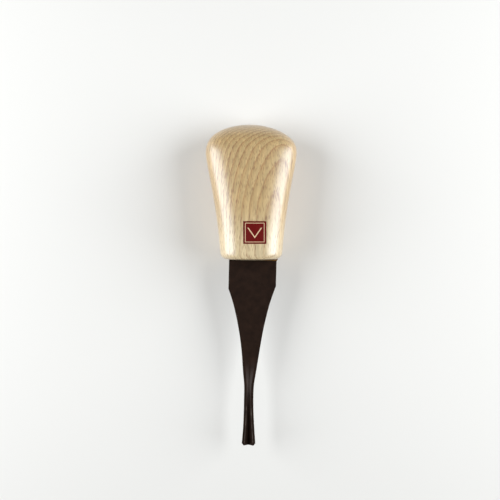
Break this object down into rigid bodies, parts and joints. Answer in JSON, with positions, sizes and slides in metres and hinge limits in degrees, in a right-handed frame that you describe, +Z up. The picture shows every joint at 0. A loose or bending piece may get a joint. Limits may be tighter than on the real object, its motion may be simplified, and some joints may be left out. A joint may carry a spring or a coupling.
{
  "type": "lino cutter",
  "caption": "Palm V-tool for cutting lino and wood blocks: a domed ash palm handle and a dark steel blade that tapers to a slim neck and a V-shaped cutting edge.",
  "frame": {"origin": "on the table under the middle of the tool, which lies on its flat belly with the channel of the V facing up", "axes": "+Y along the tool towards the butt of the handle, -Y towards the cutting edge; +Z up, out of the face with the mark; +X across the handle"},
  "size_m": [0.0404, 0.1426, 0.0254],
  "materials": {
    "ash": "sanded and oiled, satin",
    "tool_steel": "dark hardened scale, satin; ground bright at the edge",
    "epoxy": "cured, semi-gloss",
    "red_foil": "stamped pigment foil, satin"
  },
  "bodies": {
    "root": {"handle": "ash", "blade": "tool_steel", "adhesive_bed": "epoxy", "foil_mark": "red_foil"}
  },
  "joints": []
}
